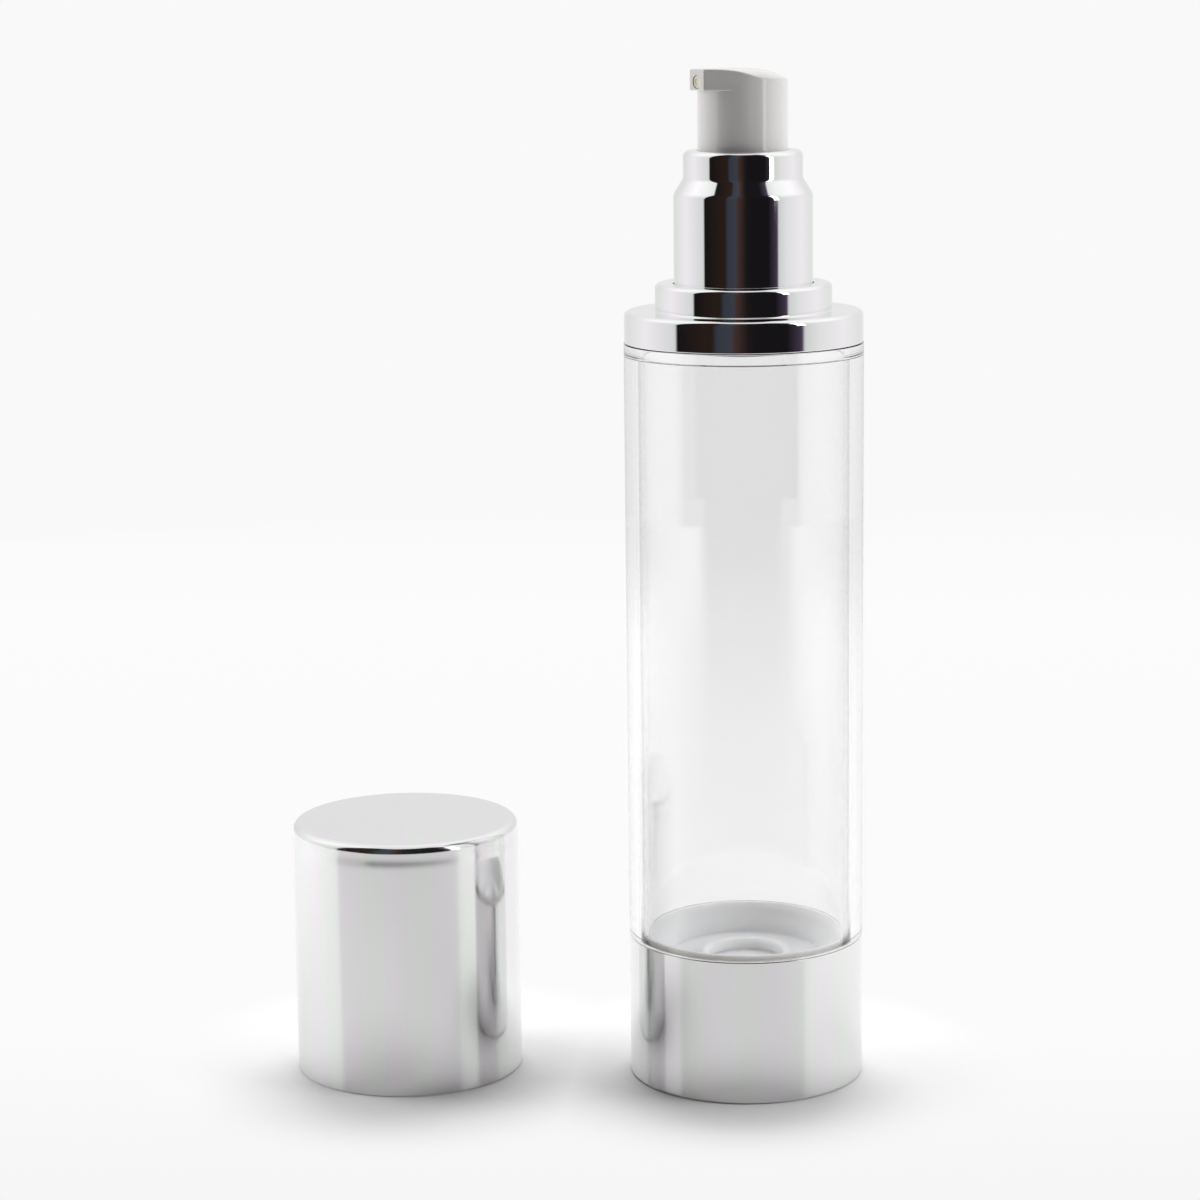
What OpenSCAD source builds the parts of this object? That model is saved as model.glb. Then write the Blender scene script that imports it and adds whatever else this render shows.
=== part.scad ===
// Airless pump bottle with its overcap standing beside it.
// The origin is the centre of the base on the surface that the bottle stands on, with +Z up.

/* [Bottle] */
// Outer diameter of the bottle
body_d = 41; // [35:0.5:52]
// Height of the silver base
base_h = 25.2; // [18:0.2:35]
// Height of the clear tube that shows above the base
tube_h = 102.1; // [70:0.1:130]
// Wall of the outer tube
tube_wall = 2.0; // [1.6:0.1:2.6]
// Air gap between the outer tube and the inner bottle
wall_gap = 0.4; // [0.1:0.05:1]
// Wall of the inner bottle
inner_wall = 0.9; // [0.7:0.05:1.4]
// Thickness of the clear plate that closes the top of the inner bottle
flange_t = 1.9; // [1.4:0.1:3]

/* [Base] */
// Wall of the base shell
base_wall = 1.0; // [0.7:0.1:1.4]
// Thickness of the floor of the base shell
base_floor_t = 1.2; // [0.8:0.1:2]
// Height of the foot ring under that floor
foot_h = 0.6; // [0.3:0.1:1.2]
// Thickness of the disc of the base insert
insert_t = 2.2; // [1.5:0.1:3]
// Height of the plug on the base insert
insert_plug_h = 8.25; // [5:0.25:10]
// Diameter of the air vents in the base
vent_d = 3.0; // [2:0.5:5]

/* [Follower] */
// Height of the follower piston
follower_h = 13.6; // [11:0.2:18]
// Depth of the dish in its top
dish_depth = 4.8; // [3:0.1:6]
// Width of the sloping side of the dish
dish_slope = 3.3; // [2:0.1:4]
// Diameter of the round recess in the middle
recess_d = 12.8; // [9:0.2:16]
// Thickness of its walls
follower_wall = 1.1; // [0.8:0.1:1.4]

/* [Shoulder and collar] */
// Height of the wide lower ring of the shoulder
ring3_h = 5.45; // [4:0.05:8]
// Height of the narrow upper ring of the shoulder
ring2_h = 4.7; // [3:0.1:6]
// Width of the ledge between the collar and the edge of the upper ring
ring2_ledge = 3.1; // [2.2:0.1:3.6]
// Wall of the shoulder ring
shoulder_wall = 1.0; // [0.7:0.1:1.2]
// Height of the straight part of the collar above the shoulder
collar_h = 15.0; // [13:0.5:20]
// Height of the cone of the collar
cone_h = 2.7; // [1.5:0.1:4]
// Height of the straight ring at the top of the collar
upper_ring_h = 4.7; // [4.2:0.1:7]
// Width of the lip around the opening at the top of the collar
lip_w = 2.16; // [1.5:0.02:2.3]
// Wall of the collar
collar_wall = 0.5; // [0.3:0.05:0.8]

/* [Neck and closure] */
// Height of the neck above the clear plate
neck_h = 12.7; // [11.5:0.1:15]
// Wall of the neck
neck_wall = 1.55; // [1.2:0.05:2.2]
// Gap between the pump barrel and the neck
neck_gap = 1.35; // [0.8:0.05:2]
// Pitch of the neck thread
thread_pitch = 3.0; // [2.6:0.1:3.6]
// Depth of the neck thread
thread_depth = 0.75; // [0.5:0.05:0.9]
// Wall of the screw closure behind its thread
closure_wall = 1.0; // [0.8:0.05:1.5]
// Thickness of the top of the screw closure
closure_top_t = 1.2; // [0.8:0.1:1.6]

/* [Pump] */
// Bore of the pump barrel
barrel_bore_d = 11.0; // [9.5:0.1:13.5]
// Wall of the pump barrel
barrel_wall = 1.0; // [0.8:0.05:1.4]
// Stroke of the pump
stroke = 5.2; // [3.5:0.1:7]
// Diameter of the upper stem
stem_d = 4.8; // [4.4:0.1:5]
// Diameter of the channel through the stem
channel_d = 2.2; // [1.4:0.1:2.4]
// Height of the pump piston
piston_h = 4.45; // [4:0.05:6]
// Free play of the pump piston on the stem
piston_play = 0.6; // [0.3:0.1:1]
// Diameter of the inlet ball
ball_d = 2.5; // [2.2:0.1:3]
// Lift of the inlet ball
ball_lift = 0.7; // [0.4:0.1:1]
// Diameter of the spring wire
wire_d = 0.8; // [0.5:0.05:0.9]
// Turns of the return spring
spring_turns = 6; // [5:1:8]

/* [Actuator] */
// Diameter of the actuator
actuator_d = 15.4; // [15:0.1:19]
// Height of the actuator above the collar
actuator_h = 13.7; // [12:0.1:18]
// Wall of the actuator skirt
actuator_wall = 1.0; // [0.8:0.1:1.2]
// Reach of the nozzle from the axis
nozzle_reach = 9.6; // [9:0.1:14]
// Width of the nozzle at its end
nozzle_w = 4.0; // [3.4:0.1:6]
// Height of the nozzle at its end
nozzle_h = 3.6; // [3.2:0.1:5]
// Direction of the nozzle about the axis
nozzle_angle = 217; // [0:1:360]
// Diameter of the outlet
outlet_d = 1.5; // [1:0.1:1.6]

/* [Overcap] */
// Distance from the side of the bottle to the side of the overcap
cap_distance = 19.7; // [5:0.1:60]
// How far the overcap stands behind the bottle's axis
cap_behind = 2.9; // [-20:0.1:20]
// How far the overcap's side is set in from the bottle's
cap_inset = 0.5; // [0:0.1:1]
// Wall of the overcap shell
cap_wall = 0.6; // [0.4:0.05:0.8]
// Thickness of the top of the overcap shell
cap_top_t = 0.8; // [0.6:0.1:1.5]
// Wall of the overcap liner
liner_wall = 0.8; // [0.6:0.05:1]
// Thickness of the top of the overcap liner
liner_top_t = 1.0; // [0.8:0.1:1.5]
// Free height above the actuator when the overcap is on
headroom = 2.15; // [1:0.05:6]

/* [Hidden] */
$fn = 96;

// Clearances: fit is radial in a fixed or sliding fit, seam is the line that shows between two pieces
fit = 0.05;
seam = 0.05;
snap_gap = 0.1;
past = 1;

// Fillets of the edges that show
edge_small = 0.3;
edge_ledge = 0.5;
edge_base = 0.8;
edge_collar_top = 1.2;
edge_cap = 0.8;

// Bottle, from the outside in
body_r = body_d / 2;
tube_bore_r = body_r - tube_wall;
inner_r = tube_bore_r - wall_gap;
bore_r = inner_r - inner_wall;
base_bore_r = body_r - base_wall;
spigot_r = base_bore_r - fit;

// Bottle, from the bottom up
z_floor = foot_h + base_floor_t;
z_insert = z_floor + insert_t;
z_plug = z_insert + insert_plug_h;
z_follower = z_plug + seam;
z_tube = base_h + seam;
z_tube_top = z_tube + tube_h;
z_flange = z_tube_top + seam;
z_flange_top = z_flange + flange_t;
z_shoulder = z_flange_top + seam;
z_ring3 = z_shoulder + ring3_h;
z_ring2 = z_ring3 + ring2_h;

// Foot ring
foot_w = 2.0;

// Follower piston
follower_r = bore_r - fit;
z_rim = z_follower + follower_h;
z_dish = z_rim - dish_depth;
lip_h = 1.6;
lip_relief = 0.6;
lip_edge = 0.25;
bead_r = 0.8;
bead_set = 0.1;
recess_drop = 1.1;

// Neck, thread and closure, from the inside out
barrel_bore_r = barrel_bore_d / 2;
barrel_r = barrel_bore_r + barrel_wall;
neck_bore_r = barrel_r + neck_gap;
neck_r = neck_bore_r + neck_wall;
crest_r = neck_r + thread_depth;
thread_clear = 0.15;
closure_bore_r = crest_r + thread_clear;
closure_crest_r = closure_bore_r - thread_depth + thread_clear;
closure_r = closure_bore_r + closure_wall;
collar_bore_r = closure_r + fit;
collar_r = collar_bore_r + collar_wall;
shoulder_bore_r = collar_r + 3 * fit;
ring2_r = shoulder_bore_r + ring2_ledge;
ring3_r = body_r - snap_gap;
z_neck = z_flange_top + neck_h;

// Snap bead of the neck and the web that it holds
web_t = 1.25;
bead_h = 0.7;
bead_out = 0.35;
web_bore_r = crest_r + 6 * fit;
z_bead = z_shoulder + web_t + snap_gap;

// Thread section and its runs; the closure's ridge lies half a pitch below the neck's
ridge_foot = 1.3;
ridge_crest = 0.7;
ridge_sink = 0.2;
thread_steps = 24;
run_out = 4;
run_out_least = 0.05;
neck_turns = 1.5;
closure_turns = 1;
thread_drop = 1.4;
z_thread = z_neck - thread_drop - neck_turns * thread_pitch;

// Pump, from the top of the neck up
gasket_t = 0.8;
housing_flange_t = 1.2;
guide_flange_t = 1.0;
guide_plug_h = 1.0;
spring_seat_h = 1.9;
turret_h = 2.1;
pump_flange_r = neck_r - snap_gap;
z_gasket = z_neck + gasket_t;
z_housing = z_gasket + housing_flange_t;
z_guide = z_housing + guide_flange_t;
z_seat = z_guide + spring_seat_h;
z_closure = z_guide + seam;
z_closure_top = z_closure + closure_top_t;
closure_in = 5.3;
z_closure_low = z_ring2 - closure_in;

// Pump, from the guide down to the inlet
plug_h = 1.2;
ball_r = ball_d / 2;
inlet_share = 0.68;
inlet_r = inlet_share * ball_r;
ball_rise = sqrt(ball_r * ball_r - inlet_r * inlet_r);
cage_t = 0.5;
barrel_floor_t = 1.0;
z_guide_low = z_housing - guide_plug_h;
z_piston = z_guide_low - snap_gap - piston_h;
z_stem_plug_top = z_piston - seam;
z_stem_plug = z_stem_plug_top - plug_h;
z_cage_top = z_stem_plug - stroke - seam;
z_cage = z_cage_top - cage_t;
z_inlet = z_cage - ball_lift - ball_r - ball_rise - seam;
z_barrel = z_inlet - barrel_floor_t;
ball_room = 0.25;
ball_room_r = ball_r + ball_room;
cage_share = 0.72;
cage_hole_r = cage_share * ball_r;

// Stem
stem_r = stem_d / 2;
stem_step = 0.4;
stem_low_r = stem_r - stem_step;
channel_r = channel_d / 2;
plug_out = 1.2;
stem_plug_r = stem_r + plug_out;
shank_h = 0.6;
port_d = 1.0;
port_up = 1.1;
z_port = z_piston + port_up;
z_stem_step = z_piston + piston_h + piston_play;

// Return spring
wire_r = wire_d / 2;
turret_wall = 1.7;
turret_gap = 0.3;
turret_r = stem_r + 2 * fit + turret_wall;
spring_r = turret_r + turret_gap + wire_r;
spring_spare = 0.7;
spring_h = (spring_turns + 0.5) * wire_d + stroke + spring_spare;
end_pitch = wire_d + 0.45;
open_pitch = (spring_h - wire_d - 2 * end_pitch) / (spring_turns - 2);
spring_rings = 16;
spring_sides = 6;
seat_out = 1.5;
seat_r = spring_r + wire_r + seat_out;
flange_out = 0.2;
stem_flange_r = spring_r + wire_r + flange_out;
stem_flange_t = 0.9;
z_spring_top = z_seat + spring_h;

// Collar, from the shoulder up
collar_in = 3.5;
z_collar_low = z_ring2 - collar_in;
z_cone = z_ring2 + collar_h;
z_upper_ring = z_cone + cone_h;
z_collar = z_upper_ring + upper_ring_h;

// Actuator
actuator_r = actuator_d / 2;
opening_gap = 0.3;
collar_opening_r = actuator_r + opening_gap;
upper_ring_r = collar_opening_r + lip_w;
skirt_bore_r = actuator_r - actuator_wall;
skirt_in = 4.4;
z_skirt = z_collar - skirt_in;
z_actuator = z_collar + actuator_h;
z_nozzle = z_actuator - nozzle_h;
outlet_up = 1.45;
z_outlet = z_nozzle + outlet_up;
stem_out = 4.6;
z_stem_top = z_collar + stem_out;
roof_gap = 1.0;
z_hollow = z_stem_top + roof_gap;
socket_wall = 1.4;
socket_depth = 6.2;
side_crown_r = 22;
back_crown_r = 14.6;
back_crown_start = 1;
roll_lift = 0.02;
side_sink = 0.2;

// Nozzle insert
insert_wall = 0.35;
insert_len = 3.0;
insert_set_back = 0.15;
insert_r = outlet_d / 2 + insert_wall;

// Overcap, from the rim up
cap_r = body_r - cap_inset;
cap_bore_r = cap_r - cap_wall;
mouth_r = ring2_r + fit;
liner_r = mouth_r + liner_wall;
liner_lift = 0.4;
liner_flange_t = 1.2;
liner_in_h = z_actuator - z_ring3 + headroom;
liner_h = liner_in_h + liner_top_t;
cap_h = liner_h + cap_top_t;
cap_x = -(body_r + cap_distance + cap_r);

// Least gap between the turns of the return spring
echo(spring_gap = min(end_pitch, open_pitch) - wire_d);

// What a round fillet takes from an outer corner at (r, z); up is 1 on a top edge and -1 on a bottom edge
module corner(r, z, f, up) {
    difference() {
        translate([r - f, up > 0 ? z - f : z - past]) square([f + past, f + past]);
        translate([r - f, z - up * f]) circle(f, $fn = 48);
    }
}

// Half section of a ring, with round fillets on its outer corners
module section(r_in, r_out, z_low, z_high, f_low = 0, f_high = 0) {
    difference() {
        translate([r_in, z_low]) square([r_out - r_in, z_high - z_low]);
        if (f_low > 0) corner(r_out, z_low, f_low, -1);
        if (f_high > 0) corner(r_out, z_high, f_high, 1);
    }
}

// A plain ring or disc
module ring(r_in, r_out, z_low, z_high) {
    rotate_extrude() section(r_in, r_out, z_low, z_high);
}

// Both triangles of the strip between ring i and the next ring of a swept tube with n points a ring
function strip(i, n) = [
    for (j = [0 : n - 1])
        each let (a = i * n + j, b = i * n + (j + 1) % n) [[a, b, b + n], [a, b + n, a + n]]
];

// Faces of a swept tube of m rings of n points, with its ends closed by fans
function tube_faces(m, n) = concat(
    [for (i = [0 : m - 2]) each strip(i, n)],
    [for (j = [1 : n - 2]) [0, j + 1, j]],
    [for (j = [1 : n - 2]) [for (k = [0, j, j + 1]) (m - 1) * n + k]]
);

// A helical ridge that grows from root_r to top_r and runs out to nothing at both ends
module thread(root_r, top_r, z_start, turns) {
    steps = turns * thread_steps;
    depth = top_r - root_r;
    side = depth > 0 ? 1 : -1;
    points = [
        for (i = [0 : steps])
            let (
                a = 360 * i / thread_steps,
                z = z_start + thread_pitch * i / thread_steps,
                grow = max(run_out_least, min(1, i / run_out, (steps - i) / run_out)),
                r = root_r + depth * grow,
                r_low = root_r - side * ridge_sink
            )
            each [for (q = [[r_low, -ridge_foot / 2], [r, -ridge_crest / 2],
                            [r, ridge_crest / 2], [r_low, ridge_foot / 2]])
                let (w = side > 0 ? q[1] : -q[1]) [q[0] * cos(a), q[0] * sin(a), z + w]]
    ];
    polyhedron(points, tube_faces(steps + 1, 4));
}

module outer_tube() {
    color([0.86, 0.9, 0.92, 0.35])
    rotate_extrude() {
        section(tube_bore_r, spigot_r, z_insert, z_tube + past);
        section(tube_bore_r, body_r, z_tube, z_tube_top, 0, edge_small / 2);
    }
}

module inner_bottle() {
    color([0.9, 0.92, 0.94, 0.35])
    union() {
        rotate_extrude() {
            section(bore_r, inner_r, z_insert, z_flange + flange_t / 2);
            section(neck_bore_r, body_r, z_flange, z_flange_top, edge_small / 2, edge_small / 2);
            section(neck_bore_r, neck_r, z_flange, z_neck, 0, edge_small);
            section(neck_bore_r, crest_r + 2 * bead_out, z_bead, z_bead + bead_h, 0, bead_out);
        }
        thread(neck_r, crest_r, z_thread, neck_turns);
    }
}

module base_shell() {
    color([0.78, 0.79, 0.8])
    rotate_extrude() {
        difference() {
            section(0, body_r, 0, base_h, edge_base, edge_small);
            translate([0, z_floor]) square([base_bore_r, base_h]);
            translate([0, -past]) square([body_r - foot_w, foot_h + past]);
            translate([0, -past]) square([vent_d / 2, base_h]);
        }
    }
}

module base_insert() {
    color([0.95, 0.95, 0.93])
    rotate_extrude() {
        section(vent_d / 2, spigot_r, z_floor, z_insert);
        section(follower_r - follower_wall, follower_r, z_floor, z_plug, 0, edge_small);
    }
}

// Half section of the follower: a skirt with a sealing lip at each end, closed by a dish with a recess
module follower_section() {
    groove_r = follower_r - lip_relief;
    skirt_r = groove_r - follower_wall;
    floor_r = follower_r - lip_edge - dish_slope;
    recess_r = recess_d / 2;
    z_under = z_dish - follower_wall;
    polygon([
        [0, z_dish - recess_drop], [recess_r, z_dish - recess_drop], [recess_r, z_dish],
        [floor_r, z_dish], [follower_r - lip_edge, z_rim], [follower_r, z_rim - lip_edge],
        [follower_r, z_rim - lip_h], [groove_r, z_rim - lip_h - lip_relief],
        [groove_r, z_follower + lip_h + lip_relief], [follower_r, z_follower + lip_h],
        [follower_r, z_follower + lip_edge], [follower_r - lip_edge, z_follower],
        [skirt_r, z_follower], [skirt_r, z_under + dish_depth / 3],
        [floor_r + dish_slope / 6, z_under], [recess_r + follower_wall, z_under],
        [recess_r + follower_wall, z_under - recess_drop], [0, z_under - recess_drop]
    ]);
}

module follower_piston() {
    color([0.86, 0.87, 0.86])
    union() {
        rotate_extrude() follower_section();
        translate([0, 0, z_dish + bead_set]) rotate_extrude()
            translate([recess_d / 2 + bead_r + bead_set, 0]) circle(bead_r, $fn = 48);
    }
}

module shoulder_ring() {
    color([0.78, 0.79, 0.8])
    rotate_extrude() {
        difference() {
            union() {
                section(shoulder_bore_r, ring3_r, z_shoulder, z_ring3, edge_small, edge_ledge);
                section(shoulder_bore_r, ring2_r, z_shoulder, z_ring2, 0, edge_ledge);
            }
            translate([shoulder_bore_r + shoulder_wall, z_shoulder - past])
                square([ring3_r - shoulder_bore_r - 2 * shoulder_wall, past + ring3_h - shoulder_wall]);
            translate([shoulder_bore_r + shoulder_wall, z_shoulder - past])
                square([ring2_ledge - 2 * shoulder_wall, past + ring3_h + ring2_h - shoulder_wall]);
        }
        section(web_bore_r, shoulder_bore_r + shoulder_wall / 2, z_shoulder, z_shoulder + web_t);
    }
}

module pump_housing() {
    seal_h = 3.0;
    color([0.93, 0.93, 0.9])
    rotate_extrude() {
        section(barrel_bore_r, barrel_r, z_barrel, z_housing);
        section(barrel_bore_r, pump_flange_r, z_gasket, z_housing);
        section(barrel_bore_r, neck_bore_r - fit, z_gasket - seal_h, z_housing);
        section(inlet_r, barrel_r, z_barrel, z_inlet);
        section(ball_room_r, barrel_bore_r + barrel_wall / 2, z_inlet, z_cage_top);
        section(cage_hole_r, barrel_bore_r + barrel_wall / 2, z_cage, z_cage_top);
    }
}

module stem_guide() {
    color([0.95, 0.95, 0.93])
    rotate_extrude() {
        section(stem_r + 2 * fit, barrel_bore_r - fit, z_guide_low, z_guide);
        section(stem_r + 2 * fit, pump_flange_r, z_housing, z_guide);
        section(stem_r + 2 * fit, seat_r, z_housing, z_seat);
        section(stem_r + 2 * fit, turret_r, z_housing, z_seat + turret_h);
    }
}

module neck_gasket() {
    color([0.6, 0.62, 0.64])
    ring(neck_bore_r + fit, pump_flange_r, z_neck, z_gasket);
}

// One round wire wound into a spring, with its end turns closer together than the rest
module return_spring() {
    rings = spring_turns * spring_rings;
    points = [
        for (i = [0 : rings])
            let (
                t = i / spring_rings,
                a = 360 * t,
                up = end_pitch * (min(t, 1) + max(0, t - spring_turns + 1))
                    + open_pitch * max(0, min(t - 1, spring_turns - 2))
            )
            each [for (j = [0 : spring_sides - 1])
                let (b = 360 * j / spring_sides, r = spring_r + wire_r * cos(b))
                [r * cos(a), r * sin(a), z_seat + wire_r + up + wire_r * sin(b)]]
    ];
    color([0.7, 0.71, 0.72])
    polyhedron(points, tube_faces(rings + 1, spring_sides));
}

module screw_closure() {
    color([0.95, 0.95, 0.93])
    union() {
        rotate_extrude() {
            section(closure_bore_r, closure_r, z_closure_low, z_closure_top, edge_small, edge_small);
            section(seat_r + 2 * fit, closure_r, z_closure, z_closure_top, 0, edge_small);
        }
        thread(closure_bore_r, closure_crest_r, z_thread - thread_pitch / 2, closure_turns);
    }
}

// Half section of the outside of the collar: a sleeve, a cone and a narrower ring with a round top edge
module collar_outline(inset, lift) {
    section(0, collar_r - inset, z_collar_low - lift, z_cone, 0, inset > 0 ? 0 : edge_small);
    polygon([
        [0, z_cone - edge_small], [collar_r - edge_small - inset, z_cone - edge_small],
        [collar_r - edge_small - inset, z_cone],
        [upper_ring_r - inset, z_upper_ring], [0, z_upper_ring]
    ]);
    section(0, upper_ring_r - inset, z_upper_ring, z_collar - inset, 0, edge_collar_top - inset);
}

module pump_collar() {
    color([0.78, 0.79, 0.8])
    rotate_extrude() {
        difference() {
            collar_outline(0, 0);
            collar_outline(collar_wall, past);
            translate([0, z_collar_low - past])
                square([collar_opening_r, z_collar - z_collar_low + 2 * past]);
        }
    }
}

module stem() {
    color([0.93, 0.93, 0.9])
    difference() {
        rotate_extrude() {
            section(channel_r, stem_low_r, z_stem_plug_top, z_stem_step);
            section(channel_r, stem_r, z_stem_step, z_stem_top);
            section(channel_r, stem_flange_r, z_spring_top, z_spring_top + stem_flange_t);
        }
        for (a = [0, 90]) rotate(a) translate([0, 0, z_port]) rotate([90, 0, 0])
            cylinder(d = port_d, h = 2 * stem_d, center = true, $fn = 32);
    }
}

module stem_plug() {
    color([0.93, 0.93, 0.9])
    rotate_extrude() {
        section(0, stem_plug_r, z_stem_plug, z_stem_plug_top);
        section(0, channel_r - fit, z_stem_plug, z_stem_plug_top + shank_h);
    }
}

module pump_piston() {
    relief = 0.7;
    counterbore_h = 1.8;
    color([0.88, 0.9, 0.92])
    rotate_extrude() {
        difference() {
            section(stem_low_r + fit, barrel_bore_r - fit, z_piston, z_piston + piston_h);
            translate([0, z_piston - past]) square([stem_low_r + relief + fit, counterbore_h + past]);
            translate([barrel_bore_r - fit - relief, z_piston + lip_h])
                square([relief + past, piston_h - 2 * lip_h]);
        }
    }
}

module inlet_ball() {
    color([0.75, 0.76, 0.78])
    translate([0, 0, z_inlet + ball_rise + fit]) sphere(ball_r, $fn = 48);
}

// Plan of the head: a circle with a nozzle whose sides run into it nearly at a tangent
module head_plan() {
    reach = norm([nozzle_reach, nozzle_w / 2]);
    a = atan2(nozzle_w / 2, nozzle_reach) + acos(actuator_r / reach);
    r = actuator_r - side_sink;
    circle(actuator_r);
    polygon([
        [nozzle_reach, -nozzle_w / 2], [nozzle_reach, nozzle_w / 2],
        [r * cos(a), r * sin(a)], [0, 0], [r * cos(a), -r * sin(a)]
    ]);
}

// What the crowned top leaves: level towards the nozzle, rolled off at the back and at both sides
module crown() {
    span = 4 * actuator_r;
    z_roll = z_actuator + roll_lift - back_crown_r;
    intersection() {
        translate([0, 0, z_actuator - side_crown_r]) rotate([0, 90, 0])
            cylinder(r = side_crown_r, h = span, center = true);
        rotate([90, 0, 0]) linear_extrude(span, center = true) {
            translate([back_crown_start, z_skirt - past]) square([span, z_actuator - z_skirt + 2 * past]);
            translate([-span, z_skirt - past]) square([2 * span, z_roll - z_skirt + past]);
            translate([back_crown_start, z_roll]) circle(back_crown_r);
        }
    }
}

module actuator() {
    bore_x = nozzle_reach - insert_set_back - insert_len;
    color([0.96, 0.96, 0.95])
    rotate(nozzle_angle)
    difference() {
        intersection() {
            union() {
                cylinder_between(actuator_r, z_skirt, z_nozzle + past);
                translate([0, 0, z_nozzle]) linear_extrude(nozzle_h + past) head_plan();
            }
            crown();
        }
        difference() {
            cylinder_between(skirt_bore_r, z_skirt - past, z_hollow);
            cylinder_between(stem_r + socket_wall, z_stem_top - socket_depth, z_hollow + past);
        }
        cylinder_between(stem_r + fit, z_skirt - past, z_stem_top + seam);
        cylinder_between(channel_r, z_skirt, z_outlet);
        translate([0, 0, z_outlet]) rotate([0, 90, 0])
            cylinder(d = outlet_d, h = 2 * nozzle_reach, $fn = 48);
        translate([bore_x, 0, z_outlet]) rotate([0, 90, 0])
            cylinder(r = insert_r + fit, h = insert_len + past, $fn = 48);
    }
}

// A plain upright cylinder on the axis from z_low to z_high
module cylinder_between(r, z_low, z_high) {
    translate([0, 0, z_low]) cylinder(r = r, h = z_high - z_low);
}

module nozzle_insert() {
    color([0.93, 0.91, 0.84])
    rotate(nozzle_angle)
    translate([nozzle_reach - insert_set_back - insert_len, 0, z_outlet]) rotate([0, 90, 0])
    difference() {
        cylinder(r = insert_r, h = insert_len, $fn = 48);
        translate([0, 0, -past]) cylinder(d = outlet_d, h = insert_len + 2 * past, $fn = 48);
    }
}

module overcap_shell() {
    color([0.8, 0.81, 0.82])
    translate([cap_x, cap_behind, 0])
    rotate_extrude() {
        difference() {
            section(0, cap_r, 0, cap_h, edge_small, edge_cap);
            translate([0, -past]) square([cap_bore_r, liner_h + past]);
        }
    }
}

module overcap_liner() {
    color([0.95, 0.95, 0.94])
    translate([cap_x, cap_behind, 0])
    rotate_extrude() {
        section(mouth_r, liner_r, liner_lift, liner_h);
        section(mouth_r, cap_bore_r - fit, liner_lift, liner_lift + liner_flange_t);
        section(0, cap_bore_r - fit, liner_in_h, liner_h);
    }
}

outer_tube();
inner_bottle();
base_shell();
base_insert();
follower_piston();
shoulder_ring();
pump_housing();
stem_guide();
neck_gasket();
return_spring();
screw_closure();
pump_collar();
stem();
stem_plug();
pump_piston();
inlet_ball();
actuator();
nozzle_insert();
overcap_shell();
overcap_liner();
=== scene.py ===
"""Looks of an airless pump bottle: its pieces, their finishes, the stage and the camera.

Lengths are in metres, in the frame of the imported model: +Z up, the origin under the middle of the base.
"""
import math

import bmesh
import bpy
import numpy as np
from mathutils import Matrix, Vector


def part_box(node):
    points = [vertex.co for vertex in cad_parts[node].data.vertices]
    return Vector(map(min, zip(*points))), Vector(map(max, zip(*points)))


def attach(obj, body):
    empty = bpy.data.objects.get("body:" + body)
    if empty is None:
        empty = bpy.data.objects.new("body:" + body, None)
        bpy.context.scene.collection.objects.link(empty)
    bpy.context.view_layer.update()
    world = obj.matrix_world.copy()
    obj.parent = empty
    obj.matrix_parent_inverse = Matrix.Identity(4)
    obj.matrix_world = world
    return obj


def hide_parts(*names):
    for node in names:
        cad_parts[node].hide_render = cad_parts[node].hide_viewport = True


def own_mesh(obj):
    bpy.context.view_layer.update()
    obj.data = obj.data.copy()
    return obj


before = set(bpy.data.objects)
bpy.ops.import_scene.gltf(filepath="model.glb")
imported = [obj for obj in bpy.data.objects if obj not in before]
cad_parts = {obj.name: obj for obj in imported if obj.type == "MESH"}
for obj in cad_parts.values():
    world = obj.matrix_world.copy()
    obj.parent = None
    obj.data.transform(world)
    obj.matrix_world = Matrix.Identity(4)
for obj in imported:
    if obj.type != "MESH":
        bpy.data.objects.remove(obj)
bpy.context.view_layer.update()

bl_info = {
    "name": "Airless pump bottle",
    "version": (1, 0, 0),
    "blender": (4, 5, 0),
    "location": "3D View > Sidebar > Bottle",
    "description": "Builds the pieces, finishes and stage of an airless pump bottle",
    "category": "Add Mesh",
}

MM = 0.001


def top(node):
    """Height of the highest point of a CAD node."""
    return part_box(node)[1].z


def foot(node):
    """Height of the lowest point of a CAD node."""
    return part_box(node)[0].z


def reach(node):
    """Radius of a CAD node that stands round the upright axis."""
    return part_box(node)[1].x


def middle(node):
    """Plan centre of a CAD node."""
    low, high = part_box(node)
    return (low.x + high.x) / 2, (low.y + high.y) / 2


def length(name, description, default):
    """A property that holds a length; its default is in millimetres."""
    return bpy.props.FloatProperty(
        name=name, description=description, default=default * MM, unit="LENGTH", precision=5)


def tint(name, description, default):
    """A property that holds a linear colour."""
    return bpy.props.FloatVectorProperty(
        name=name, description=description, default=default, subtype="COLOR", min=0, max=1)


def share(name, description, default, high=1.0):
    """A property that holds a plain number from 0."""
    return bpy.props.FloatProperty(
        name=name, description=description, default=default, min=0, max=high, precision=4)


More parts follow.
